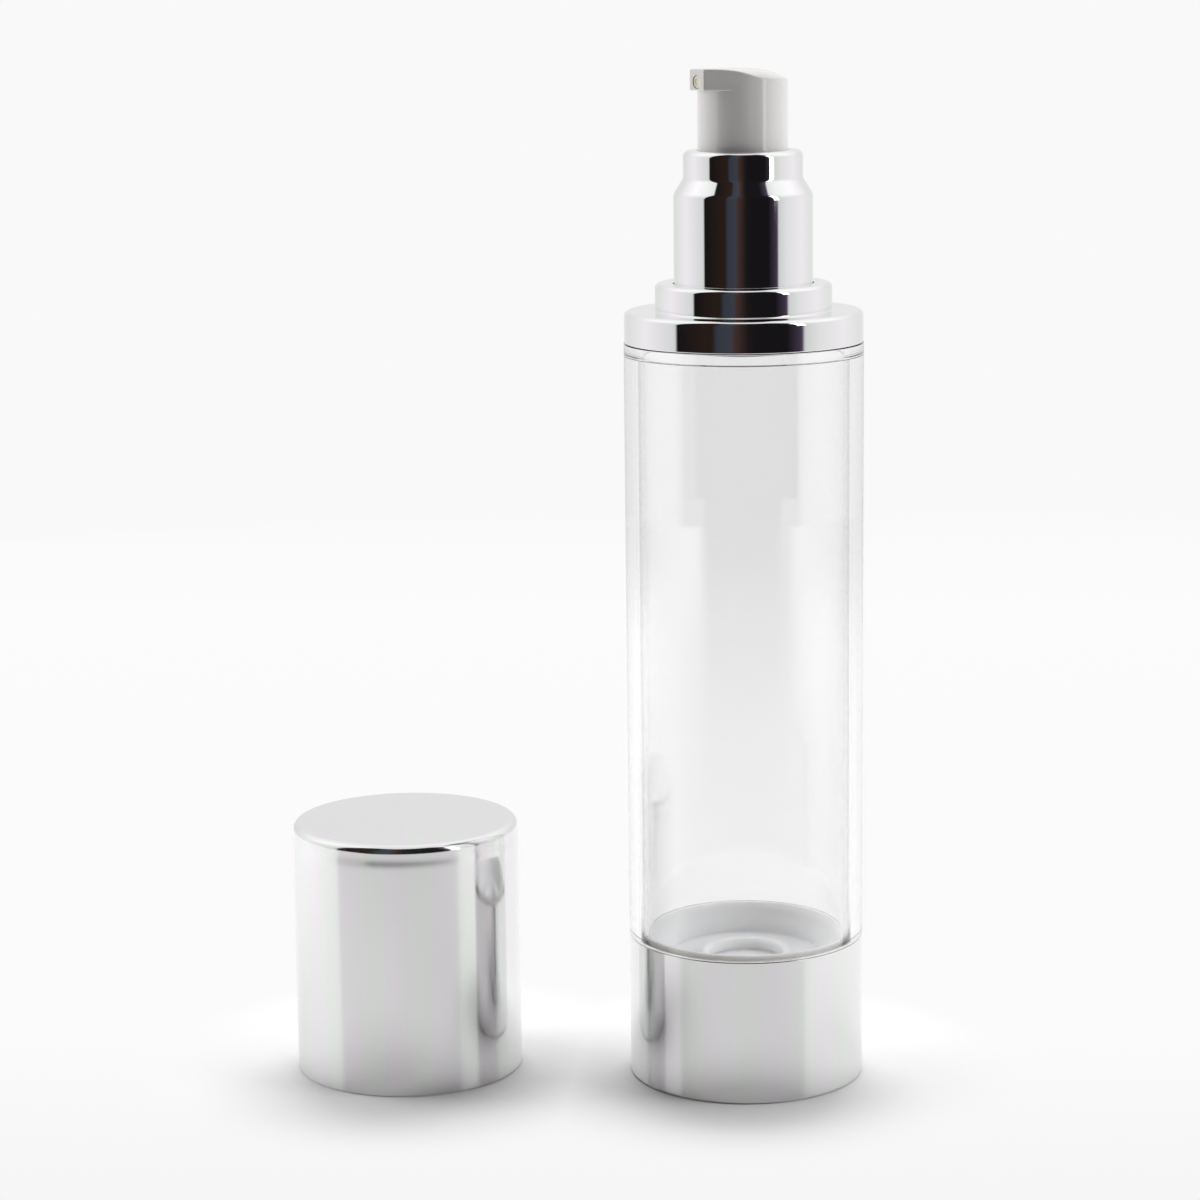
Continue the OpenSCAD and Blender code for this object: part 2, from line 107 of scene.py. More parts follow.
class BottleSizes(bpy.types.PropertyGroup):
    """Sizes that the pieces are drawn with; the rest comes from the CAD nodes."""

    tube_wall: length("Tube wall", "Wall of the clear outer tube", 2.0)
    bottle_wall: length("Bottle wall", "Wall of the clear inner bottle", 0.9)
    wall_gap: length("Wall gap", "Air between the tube and the inner bottle", 0.4)
    base_wall: length("Base wall", "Wall of the silver base", 1.0)
    foot_width: length("Foot width", "Width of the ring that the base stands on", 2.0)
    vent_radius: length("Vent radius", "Radius of the air hole in the base", 1.5)
    shoulder_wall: length("Shoulder wall", "Wall of the shoulder ring", 1.0)
    ring_height: length("Wide ring height", "Height of the wide ring of the shoulder", 5.45)
    collar_wall: length("Collar wall", "Wall of the pump collar", 0.5)
    collar_height: length("Collar height", "Height of the wide part of the collar above the shoulder", 15.0)
    cone_height: length("Cone height", "Height of the cone of the collar", 2.7)
    upper_radius: length("Upper ring radius", "Radius of the narrow ring of the collar", 10.16)
    opening_radius: length("Opening radius", "Radius of the hole that the button runs in", 8.0)
    neck_radius: length("Neck radius", "Outer radius of the neck under its thread", 9.4)
    neck_bore: length("Neck bore", "Radius of the hole in the neck", 7.85)
    button_radius: length("Button radius", "Radius of the round part of the actuator", 7.7)
    nozzle_reach: length("Nozzle reach", "From the axis to the nozzle's end face", 9.6)
    nozzle_width: length("Nozzle width", "Width of the nozzle's end face", 4.0)
    nozzle_height: length("Nozzle height", "Height of the nozzle's end face", 3.6)
    outlet_radius: length("Outlet radius", "Radius of the dimple in the nozzle's bush", 0.75)
    stroke: length("Stroke", "How far the button goes down", 5.2)
    cap_wall: length("Overcap wall", "Wall of the overcap's shell", 0.6)
    cap_top: length("Overcap top", "Thickness of the overcap's top", 0.8)
    liner_wall: length("Liner wall", "Wall of the overcap's liner", 0.8)
    nozzle_angle: bpy.props.FloatProperty(
        name="Nozzle angle", description="Direction of the nozzle, from +X", default=math.radians(217),
        subtype="ANGLE")


class BottleFinish(bpy.types.PropertyGroup):
    """Colours and gloss of the finishes."""

    silver: tint("Silver", "Metallised plastic", (0.86, 0.86, 0.865))
    silver_rough: share("Silver roughness", "Blur of the metallised plastic", 0.03)
    aluminium: tint("Aluminium", "Satin aluminium of the base and the overcap", (0.85, 0.85, 0.85))
    aluminium_rough: share("Aluminium roughness", "Blur of the base and the overcap", 0.10)
    clear: tint("Clear plastic", "Outer tube and inner bottle", (1.0, 1.0, 1.0))
    clear_shade: share("Clear plastic shade", "Share of a lamp's light that each skin lets by", 0.99)
    clear_ior: share("Clear plastic index", "Index of refraction of the clear pieces", 1.45, 2.0)
    white: tint("White plastic", "Glossy white of the actuator", (0.77, 0.755, 0.74))
    ivory: tint("Ivory plastic", "Bush in the outlet", (0.88, 0.84, 0.70))
    natural: tint("Natural plastic", "Follower, bottom plug and some pump pieces", (0.95, 0.95, 0.95))
    insert: tint("Insert plastic", "Overcap's liner, closure and stem guide", (0.82, 0.82, 0.80))
    gasket: tint("Gasket", "Foamed washer under the pump", (0.42, 0.43, 0.44))
    steel: tint("Spring steel", "Return spring and ball", (0.56, 0.56, 0.55))


class StageSettings(bpy.types.PropertyGroup):
    """Camera, lamps, floor and the room that the metal reflects."""

    camera_back: length("Camera back", "How far the camera stands in front of the bottle", 564.9)
    camera_height: length("Camera height", "Height of the camera", 191.12)
    pitch: share("Camera pitch", "Degrees that the camera looks down", 10.675, 90)
    yaw: bpy.props.FloatProperty(name="Camera yaw", description="Degrees to the right", default=-2.541)
    roll: bpy.props.FloatProperty(name="Camera roll", description="Degrees", default=-0.687)
    focal: bpy.props.FloatProperty(
        name="Focal length", description="Millimetres on a 36 mm sensor", default=99.44)
    # The floor has a colour for each kind of ray: floor_lit where the camera sees it, floor_return (a darker
    # copy) for the light it bounces onto the pieces, and a darker painted share of floor where metal mirrors
    # it
    floor: tint("Floor", "Pale floor", (0.94, 0.94, 0.94))
    floor_lit: tint(
        "Floor near the pieces", "What the camera sees of the floor where shadows fall", (0.84, 0.84, 0.84))
    floor_return: tint("Floor return", "Share of its light that the floor gives back", (0.52, 0.52, 0.52))
    backdrop: tint("Backdrop", "Pale surroundings", (0.947, 0.947, 0.947))
    room: tint("Room", "Dim room in front of the stage", (0.010, 0.009, 0.011))
    # floor_front and floor_end bound the painted dark front that reflections and bounce light see on the
    # floor
    floor_front: length("Floor front", "Where the lit floor starts to fade towards the room", 200)
    floor_end: length("Floor end", "Where the lit floor has faded into the room", 570)
    high_walls: share("High walls", "How much brighter the upper walls of the tent are", 1.2, 20)
    top_light: share("Top lamp", "Brightness of the panel above and behind", 3.9, 20)
    right_light: share("Right lamp", "Brightness of the panel at the right", 4.4, 20)
    left_light: share("Left lamp", "Brightness of the panel at the left", 4.0, 20)


# Outlines and surfaces: sides of a turned piece, steps of a fillet, how far beside a corner a straight side
# gets its point, and the distance within which points are welded

AROUND = 256
ARC_STEPS = 8
SUPPORT = 0.03 * MM
MERGE = 1e-7
SHARP_ANGLE = math.radians(32)


def unit(v):
    """v made one long."""
    return v / np.linalg.norm(v)


def fillet(before, corner, after, radius):
    """Points of the arc that touches both sides of a corner.

    It starts radius * tan(half the turn) before the corner, and its centre lies radius away on the inside.
    """
    come, leave = unit(corner - before), unit(after - corner)
    turn = math.atan2(come[0] * leave[1] - come[1] * leave[0], float(come @ leave))
    start = corner - come * radius * math.tan(abs(turn) / 2)
    side = math.copysign(1.0, turn)
    inward = np.array([-come[1], come[0]]) * side
    centre = start + inward * radius
    angle = np.linspace(0, turn, ARC_STEPS + 1)
    spoke = start - centre
    return centre + np.stack([
        spoke[0] * np.cos(angle) - spoke[1] * np.sin(angle),
        spoke[0] * np.sin(angle) + spoke[1] * np.cos(angle)], axis=1)


def outline(corners):
    """Points of an outline given by corners (r, z) or (r, z, fillet radius in mm), outer side upwards.

    An outline that starts on the axis ends there too and stays open, and any other one is closed.
    Each straight side gets a point just inside both its ends, so that smooth shading keeps it straight.
    """
    spots = [np.array(c[:2], float) for c in corners]
    closed = spots[0][0] > 0
    last = len(spots) - 1
    parts = []
    for i, c in enumerate(corners):
        if len(c) < 3:
            parts.append(spots[i][None, :])
        else:
            parts.append(fillet(spots[i - 1], spots[i], spots[(i + 1) % len(spots)], c[2] * MM))
    done = []
    for i, part in enumerate(parts):
        done.append(part)
        if i == last and not closed:
            break
        a, b = part[-1], parts[(i + 1) % len(parts)][0]
        side = np.linalg.norm(b - a)
        if side > 4 * SUPPORT:
            done.append(np.array([a + (b - a) * SUPPORT / side, b - (b - a) * SUPPORT / side]))
    return np.concatenate(done)


def mesh_object(name, points, faces):
    """An object at the origin from points and faces, smooth except at edges sharper than SHARP_ANGLE."""
    mesh = bpy.data.meshes.new(name)
    mesh.from_pydata(points.reshape(-1, 3).tolist(), [], faces.reshape(-1, 4).tolist())
    shape = bmesh.new()
    shape.from_mesh(mesh)
    bmesh.ops.remove_doubles(shape, verts=shape.verts, dist=MERGE)
    bmesh.ops.dissolve_degenerate(shape, edges=shape.edges, dist=MERGE)
    shape.to_mesh(mesh)
    shape.free()
    smooth(mesh)
    piece = bpy.data.objects.new(name, mesh)
    bpy.context.scene.collection.objects.link(piece)
    return piece


def smooth(mesh):
    """Smooth shading that stops at sharp edges."""
    mesh.shade_smooth()
    mesh.set_sharp_from_angle(angle=SHARP_ANGLE)
    mesh.update()


def grid_faces(rows, columns, close_rows):
    """Quads of a grid whose columns close into a ring, and whose rows do too if close_rows is set."""
    i = np.arange(rows if close_rows else rows - 1)[:, None]
    j = np.arange(columns)[None, :]
    up, on = (i + 1) % rows, (j + 1) % columns
    return np.stack([i * columns + j, i * columns + on, up * columns + on, up * columns + j], axis=-1)


def lathe(name, points, centre=(0.0, 0.0), around=AROUND):
    """Surface of revolution: outline point i at (r, z) is turned by 2 pi j / around about an upright axis.

    x = centre x + r cos(angle), y = centre y + r sin(angle), z = z. The ends of an open outline are poles.
    """
    angle = np.arange(around) * (2 * math.pi / around)
    r, z = points.T
    x = centre[0] + np.outer(r, np.cos(angle))
    y = centre[1] + np.outer(r, np.sin(angle))
    solid = np.stack([x, y, np.broadcast_to(z[:, None], x.shape)], axis=-1)
    closed = points[0, 0] > MERGE
    return mesh_object(name, solid, grid_faces(len(points), around, closed))


def joined(first, second):
    """One object from two."""
    shape = bmesh.new()
    shape.from_mesh(first.data)
    shape.from_mesh(second.data)
    shape.to_mesh(first.data)
    shape.free()
    smooth(first.data)
    bpy.data.objects.remove(second)
    return first


def wound(name, rings):
    """A tube from rings of points along its path, each end closed by the middle of its ring."""
    ends = [ring.mean(0) + 0 * ring for ring in (rings[0], rings[-1])]
    points = np.concatenate([ends[:1], rings, ends[1:]])
    return mesh_object(name, points, grid_faces(len(points), rings.shape[1], False)[..., ::-1])


# Shader nodes

NOISE_SPAN = (0.3, 0.7)


def feed(socket, value):
    """Gives a socket a value, or links it where the value is itself a socket."""
    if isinstance(value, bpy.types.NodeSocket):
        socket.id_data.links.new(value, socket)
    elif socket.type == "RGBA":
        socket.default_value = (*value[:3], 1)
    else:
        socket.default_value = value


def fill(node, inputs):
    """Feeds the sockets of a node that inputs names."""
    for key, value in inputs.items():
        feed(node.inputs[key], value)


def add_node(tree, kind, inputs=None, **settings):
    """A node of a kind with the given inputs and properties."""
    made = tree.nodes.new(kind)
    for key, value in settings.items():
        setattr(made, key, value)
    fill(made, inputs or {})
    return made


def grey(level):
    """A colour without a hue."""
    return (level, level, level)


def object_place(tree):
    """Where a point is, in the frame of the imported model."""
    return add_node(tree, "ShaderNodeTexCoord").outputs["Object"]


def light_path(tree):
    """What kind of ray asks for the colour, and what it has met before."""
    return add_node(tree, "ShaderNodeLightPath").outputs


def split(tree, vector):
    """X, Y and Z of a vector."""
    return tuple(add_node(tree, "ShaderNodeSeparateXYZ", {"Vector": vector}).outputs)


def noise(tree, vector, scale, detail=3.0):
    """A noise texture read at a vector; nearly all of it lies in NOISE_SPAN."""
    made = add_node(tree, "ShaderNodeTexNoise", {"Vector": vector, "Scale": scale, "Detail": detail})
    return made.outputs["Fac"]


def map_range(tree, value, low, high, to_low=0.0, to_high=1.0, kind="LINEAR"):
    """A value taken from low..high to to_low..to_high, and clamped there."""
    ends = {"Value": value, "From Min": low, "From Max": high, "To Min": to_low, "To Max": to_high}
    return add_node(tree, "ShaderNodeMapRange", ends, interpolation_type=kind).outputs["Result"]


def ease(tree, value, low, high, to_low=0.0, to_high=1.0):
    """map_range with a smooth start and end."""
    return map_range(tree, value, low, high, to_low, to_high, "SMOOTHSTEP")


def calc(tree, operation, a, b=0.0):
    """A Math node on two values."""
    return add_node(tree, "ShaderNodeMath", {0: a, 1: b}, operation=operation).outputs["Value"]


def times(tree, first, *others):
    """Product of values."""
    for value in others:
        first = calc(tree, "MULTIPLY", first, value)
    return first


def blend_colours(tree, factor, first, second):
    """Mix of two colours by a value. Sockets 6, 7 and 2 are the colours of a Mix node."""
    return add_node(tree, "ShaderNodeMix", {0: factor, 6: first, 7: second}, data_type="RGBA").outputs[2]


def blend_shaders(tree, factor, first, second):
    """Mix of two shader nodes by a value, which becomes the surface of the material."""
    mix = add_node(tree, "ShaderNodeMixShader", {0: factor, 1: first.outputs[0], 2: second.outputs[0]})
    leave = next(n for n in tree.nodes if n.type == "OUTPUT_MATERIAL")
    feed(leave.inputs["Surface"], mix.outputs["Shader"])


def colour_ramp(tree, factor, stops):
    """Colour by a value: each stop is (place, colour or grey level), and the first place is 0."""
    made = add_node(tree, "ShaderNodeValToRGB", {"Fac": factor})
    elements = made.color_ramp.elements
    elements.remove(elements[-1])
    for place, colour in stops:
        element = elements.new(place) if place else elements[0]
        element.color = (*(colour if isinstance(colour, tuple) else grey(colour)), 1)
    return made.outputs["Color"]


# Node groups that several finishes share


def new_group(name, inputs, outputs):
    """A shader node group, what it is given, and its output node, from {name: default} and {name: type}."""
    group = bpy.data.node_groups.new(name, "ShaderNodeTree")
    kinds = {4: "NodeSocketColor", 3: "NodeSocketVector"}
    for label, default in inputs.items():
        kind = kinds[len(default)] if isinstance(default, tuple) else "NodeSocketFloat"
        group.interface.new_socket(name=label, in_out="INPUT", socket_type=kind).default_value = default
    for label, kind in outputs.items():
        group.interface.new_socket(name=label, in_out="OUTPUT", socket_type=kind)
    return group, group.nodes.new("NodeGroupInput").outputs, group.nodes.new("NodeGroupOutput")


def moulded_surface_group():
    """Roughness that drifts between two values over patches, and the height of a fine moulded skin."""
    tree, given, leave = new_group(
        "Moulded surface",
        {"Patch Scale": 90.0, "Skin Scale": 2500.0, "Roughness Low": 0.1, "Roughness High": 0.2},
        {"Roughness": "NodeSocketFloat", "Height": "NodeSocketFloat"})
    place = object_place(tree)
    patches = noise(tree, place, given["Patch Scale"])
    skin = noise(tree, place, given["Skin Scale"], 2.0)
    swell = noise(tree, place, given["Patch Scale"], 1.0)
    swell_over_skin = 4.0
    fill(leave, {
        "Roughness": map_range(tree, patches, *NOISE_SPAN, given["Roughness Low"], given["Roughness High"]),
        "Height": calc(tree, "ADD", skin, times(tree, swell, swell_over_skin))})
    return tree


def reflection_tint_bands_group():
    """Colour with faint pink and green bands painted in, which run up and down round the upright axis
    through Centre: painted reflection tints that stand in for coloured tints in the metal's reflections.
    """
    tree, given, leave = new_group(
        "Painted reflection tints",
        {"Colour": (0.8, 0.8, 0.8, 1), "Centre": (0, 0, 0), "Bands": 7.0, "Depth": 0.03},
        {"Colour": "NodeSocketColor"})
    place = object_place(tree)
    shift = add_node(tree, "ShaderNodeVectorMath", {0: place, 1: given["Centre"]}, operation="SUBTRACT")
    x, y, _ = split(tree, shift.outputs["Vector"])
    # Painted reflection tints: the colour is made pinker or greener in bands round the axis
    wave = calc(tree, "SINE", times(tree, calc(tree, "ARCTAN2", y, x), given["Bands"]))
    strength = times(tree, wave, noise(tree, place, 60.0), given["Depth"])
    channels = add_node(tree, "ShaderNodeSeparateColor", {"Color": given["Colour"]}).outputs
    pink, green = calc(tree, "ADD", 1.0, strength), calc(tree, "SUBTRACT", 1.0, strength)
    gains = {"Red": pink, "Green": green, "Blue": pink}
    made = {channel: times(tree, channels[channel], gain) for channel, gain in gains.items()}
    fill(leave, {"Colour": add_node(tree, "ShaderNodeCombineColor", made).outputs["Color"]})
    return tree


def shared_group(tree, name, make, inputs):
    """Outputs of a node of the group of a name, which is made on first use."""
    group = bpy.data.node_groups.get(name) or make()
    return add_node(tree, "ShaderNodeGroup", inputs, node_tree=group).outputs


# Finishes


def new_material(name):
    """A material with a Principled shader, its node tree and the shader."""
    material = bpy.data.materials.new(name)
    material.use_nodes = True
    tree = material.node_tree
    tree.nodes.clear()
    shader = add_node(tree, "ShaderNodeBsdfPrincipled")
    add_node(tree, "ShaderNodeOutputMaterial", {"Surface": shader.outputs["BSDF"]})
    return material, tree, shader


def add_skin(tree, shader, rough_low, rough_high, patch_scale, skin_scale, relief):
    """Feeds the shader's roughness and normal from the moulded surface group; relief is its depth."""
    skin = shared_group(tree, "Moulded surface", moulded_surface_group, {
        "Patch Scale": patch_scale, "Skin Scale": skin_scale, "Roughness Low": rough_low,
        "Roughness High": rough_high})
    bump = add_node(tree, "ShaderNodeBump", {"Strength": 1.0, "Distance": relief, "Height": skin["Height"]})
    fill(shader, {"Roughness": skin["Roughness"], "Normal": bump.outputs["Normal"]})


def bright_metal(name, colour, rough, centre=(0.0, 0.0), bands=7.0, depth=0.03):
    """Bright metal with faint pink and green bands painted into its colour as reflection tints, and slight
    patches in its gloss.
    """
    material, tree, shader = new_material(name)
    reflection_tints = shared_group(tree, "Painted reflection tints", reflection_tint_bands_group, {
        "Colour": colour, "Centre": (*centre, 0), "Bands": bands, "Depth": depth})
    fill(shader, {"Metallic": 1.0, "Base Color": reflection_tints["Colour"]})
    add_skin(tree, shader, 0.8 * rough, 1.3 * rough, 70.0, 1200.0, 0.00002 * MM)
    return material


def clear_plastic(name, look):
    """Clear moulded plastic with a plain transmission and a faint swell of its walls.

    It lets a share of the light of lamps straight through at each skin, so that what it holds is lit.
    """
    material, tree, shader = new_material(name)
    fill(shader, {"Base Color": look.clear, "Transmission Weight": 1.0, "IOR": look.clear_ior})
    add_skin(tree, shader, 0.0, 0.004, 60.0, 300.0, 0.00002 * MM)
    passing = add_node(tree, "ShaderNodeBsdfTransparent", {"Color": grey(look.clear_shade)})
    blend_shaders(tree, light_path(tree)["Is Shadow Ray"], shader, passing)
    return material


def solid_plastic(name, colour, rough, glow=0.0, deep=1.0 * MM, mottle=0.03, coat=0.0):
    """Opaque moulded plastic; glow is the share of light that scatters under its skin, deep how far."""
    material, tree, shader = new_material(name)
    cloud = map_range(tree, noise(tree, object_place(tree), 120.0, 4.0), *NOISE_SPAN)
    dim = tuple(c * (1 - mottle) for c in colour)
    fill(shader, {
        "Base Color": blend_colours(tree, cloud, dim, colour), "Subsurface Weight": glow,
        "Subsurface Radius": (1.0, 0.9, 0.8), "Subsurface Scale": deep, "Coat Weight": coat,
        "Coat Roughness": 0.03})
    add_skin(tree, shader, 0.85 * rough, 1.2 * rough, 110.0, 3000.0, 0.0001 * MM)
    return material


# Pieces


def chosen(context):
    """Sizes and finishes that are set in the scene."""
    return context.scene.bottle_sizes, context.scene.bottle_finish


def finish_piece(piece, body, node, material):
    """Puts a piece on its body, in the place of its CAD node if it has one and material."""
    piece.data.materials.clear()
    piece.data.materials.append(material)
    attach(piece, body)
    if node:
        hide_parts(node)
    return piece


def turned_piece(name, body, node, corners, material, centre=(0.0, 0.0), around=AROUND):
    """A finished piece turned from the corners of its outline."""
    return finish_piece(lathe(name, outline(corners), centre, around), body, node, material)


class AIRLESS_OT_base(bpy.types.Operator):
    """Silver base cup and the white plug inside it"""

    bl_idname = "airless.base"
    bl_label = "Base"

    lift, plug_wall = 0.6 * MM, 1.1 * MM

    def execute(self, context):
        size, look = chosen(context)
        r, high, floor = reach("base_shell"), top("base_shell"), foot("base_insert")
        bore, foot_in, vent = r - size.base_wall, r - size.foot_width, size.vent_radius
        turned_piece("silver_base_cup", "bottle", "base_shell", [
            (vent, self.lift), (foot_in, self.lift), (foot_in, 0, 0.2), (r, 0, 0.5), (r, high, 0.08),
            (bore, high, 0.2), (bore, floor, 0.3), (vent, floor)],
            bright_metal("Satin base", look.aluminium, look.aluminium_rough, bands=13.0))
        r, plug_r, high = reach("base_insert"), reach("follower_piston"), top("base_insert")
        bore, disc_top = plug_r - self.plug_wall, foot("inner_bottle")
        turned_piece("white_bottom_plug", "bottle", "base_insert", [
            (vent, floor), (r, floor, 0.1), (r, disc_top, 0.1), (plug_r, disc_top), (plug_r, high, 0.3),
            (bore, high, 0.3), (bore, disc_top, 0.3), (vent, disc_top, 0.1)],
            solid_plastic("White insert", look.natural, 0.4, glow=0.9, deep=2.5 * MM))
        return {"FINISHED"}


class AIRLESS_OT_clear_body(bpy.types.Operator):
    """Clear outer tube, and the clear inner bottle with its plate, neck, bead and thread"""

    bl_idname = "airless.clear_body"
    bl_label = "Clear body"

    air, seam, plate = 0.05 * MM, 0.03 * MM, 0.3 * MM
    bead_out, bead_rise, bead_width = 1.45 * MM, 1.4 * MM, 0.7 * MM

    def execute(self, context):
        size, look = chosen(context)
        r, low, high = reach("outer_tube"), foot("outer_tube"), top("outer_tube")
        bore, spigot = r - size.tube_wall, r - size.base_wall - self.air
        seat = top("base_shell") + self.air
        tube = lathe("clear_outer_tube", outline([
            (bore, seat), (r, seat, 0.08), (r, high, 0.05), (bore, high, 0.05)]))
        hidden = lathe("clear_tube_spigot", outline([
            (bore, low, 0.2), (spigot, low, 0.2), (spigot, seat - self.seam), (bore, seat - self.seam)]))
        finish_piece(joined(tube, hidden), "bottle", "outer_tube",
                     clear_plastic("Clear tube", look))

        wall_out = bore - size.wall_gap
        wall_in = wall_out - size.bottle_wall
        plate_low, plate_top = high + self.air, foot("shoulder_ring") - self.air
        under = plate_top - self.plate
        neck, neck_bore, neck_top = size.neck_radius, size.neck_bore, top("inner_bottle")
        bead_r, bead_low = neck + self.bead_out, plate_top + self.bead_rise
        bead_top = bead_low + self.bead_width
        clear = clear_plastic("Clear bottle", look)
        turned_piece("clear_inner_bottle", "bottle", "inner_bottle", [
            (wall_in, low, 0.15), (wall_out, low, 0.15), (wall_out, plate_low, 0.12), (r, plate_low, 0.05),
            (r, plate_top, 0.05), (neck, plate_top, 0.3), (neck, bead_low, 0.1), (bead_r, bead_low, 0.1),
            (bead_r, bead_top, 0.3), (neck, bead_top, 0.15), (neck, neck_top, 0.3),
            (neck_bore, neck_top, 0.2), (neck_bore, under, 0.1), (wall_in, under, 0.1)], clear)
        finish_piece(self.neck_ridge(neck, neck_top), "bottle", None, clear)
        return {"FINISHED"}

    @staticmethod
    def neck_ridge(neck, neck_top):
        """Thread of the neck: a rounded ridge carried along a helix, its ends tapered over one radian.

        The section angle a runs round the ridge, and the turn angle t along it: its radius is
        neck - root + (depth + root) * grow(t) * max(-0.1, cos a), its height start + pitch * t / 2 pi
        + half * sin a * (0.3 + 0.7 grow(t)).
        """
        depth, half, pitch, turns, sides, steps = 0.75 * MM, 0.6 * MM, 3.0 * MM, 1.5, 24, 144
        root, below_top = 0.1 * MM, 1.4 * MM
        start = neck_top - below_top - turns * pitch
        t = np.linspace(0, 2 * math.pi * turns, steps)[:, None]
        a = np.linspace(0, 2 * math.pi, sides, endpoint=False)[None, :]
        grow = np.clip(np.minimum(t, t[-1] - t), 0.03, 1.0)
        r = neck - root + (depth + root) * grow * np.clip(np.cos(a), -0.1, 1.0)
        z = start + pitch * t / (2 * math.pi) + half * np.sin(a) * (0.3 + 0.7 * grow)
        return wound("clear_neck_thread", np.stack([r * np.cos(t), r * np.sin(t), z], axis=-1))


class AIRLESS_OT_follower(bpy.types.Operator):
    """Milky follower piston with its sloped dish, bead and recess"""

    bl_idname = "airless.follower"
    bl_label = "Follower"

    wall, lip, relief = 1.1 * MM, 1.6 * MM, 0.6 * MM
    dish_in, dish_deep, rim_width = 3.55 * MM, 4.8 * MM, 0.35 * MM
    bead_in, bead_out, bead_high, recess_deep = 6.5 * MM, 8.1 * MM, 0.9 * MM, 1.1 * MM
    boss_in, haunch = 0.6 * MM, 1.6 * MM

    def execute(self, context):
        look = context.scene.bottle_finish
        r, low, rim = reach("follower_piston"), foot("follower_piston"), top("follower_piston")
        wall, lip, relief, bead_in, bead_out = self.wall, self.lip, self.relief, self.bead_in, self.bead_out
        groove, dish_r, dish = r - relief, r - self.dish_in, rim - self.dish_deep
        skirt, under, boss_r = groove - wall, dish - wall, bead_out - self.boss_in
        boss, recess, bead_top = under - self.recess_deep, dish - self.recess_deep, dish + self.bead_high
        turned_piece("milky_follower", "follower", "follower_piston", [
            (0, boss), (boss_r, boss, 0.3), (boss_r, under, 0.3), (dish_r + wall / 2, under, 0.3),
            (skirt, under + self.haunch, 0.3), (skirt, low, 0.1), (r, low, 0.2), (r, low + lip, 0.1),
            (groove, low + lip + relief, 0.1), (groove, rim - lip - relief, 0.1), (r, rim - lip, 0.1),
            (r, rim, 0.25), (r - self.rim_width, rim, 0.15), (dish_r, dish, 0.6), (bead_out, dish, 0.3),
            (bead_out, bead_top, 0.79), (bead_in, bead_top, 0.79), (bead_in, recess, 0.25), (0, recess)],
            solid_plastic("Milky follower", look.natural, 0.32, glow=0.9, deep=2.5 * MM))
        return {"FINISHED"}


class AIRLESS_OT_shoulder(bpy.types.Operator):
    """Silver stepped shoulder ring"""

    bl_idname = "airless.shoulder"
    bl_label = "Shoulder ring"

    collar_gap, narrow_width, web_width, web_high = 0.15 * MM, 3.1 * MM, 1.55 * MM, 1.25 * MM

    def execute(self, context):
        size, look = chosen(context)
        wide, low, high = reach("shoulder_ring"), foot("shoulder_ring"), top("shoulder_ring")
        wall, step = size.shoulder_wall, low + size.ring_height
        bore = reach("pump_collar") + self.collar_gap
        narrow, web_bore, web = bore + self.narrow_width, bore - self.web_width, low + self.web_high
        turned_piece("silver_shoulder_ring", "bottle", "shoulder_ring", [
            (web_bore, low), (bore + wall, low), (bore + wall, high - wall, 0.2),
            (narrow - wall, high - wall, 0.2), (narrow - wall, step - wall, 0.2),
            (wide - wall, step - wall, 0.3), (wide - wall, low, 0.1), (wide, low, 0.25), (wide, step, 0.9),
            (narrow, step, 0.25), (narrow, high, 0.9), (bore, high, 0.15), (bore, web, 0.2),
            (web_bore, web, 0.1)], bright_metal("Silver shoulder", look.silver, look.silver_rough))
        return {"FINISHED"}


class AIRLESS_OT_collar(bpy.types.Operator):
    """Silver collar round the pump"""

    bl_idname = "airless.collar"
    bl_label = "Pump collar"

    def execute(self, context):
        size, look = chosen(context)
        wide, low, high = reach("pump_collar"), foot("pump_collar"), top("pump_collar")
        wall, narrow, hole = size.collar_wall, size.upper_radius, size.opening_radius
        cone = top("shoulder_ring") + size.collar_height
        neck = cone + size.cone_height
        turned_piece("silver_pump_collar", "closure", "pump_collar", [
            (wide - wall, low, 0.1), (wide, low, 0.15), (wide, cone, 1.6), (narrow, neck, 1.3),
            (narrow, high, 1.1), (hole, high, 0.2), (hole, high - wall, 0.15),
            (narrow - wall, high - wall, 0.6), (narrow - wall, neck, 0.5), (wide - wall, cone, 0.3)],
            bright_metal("Silver collar", look.silver, look.silver_rough))
        return {"FINISHED"}


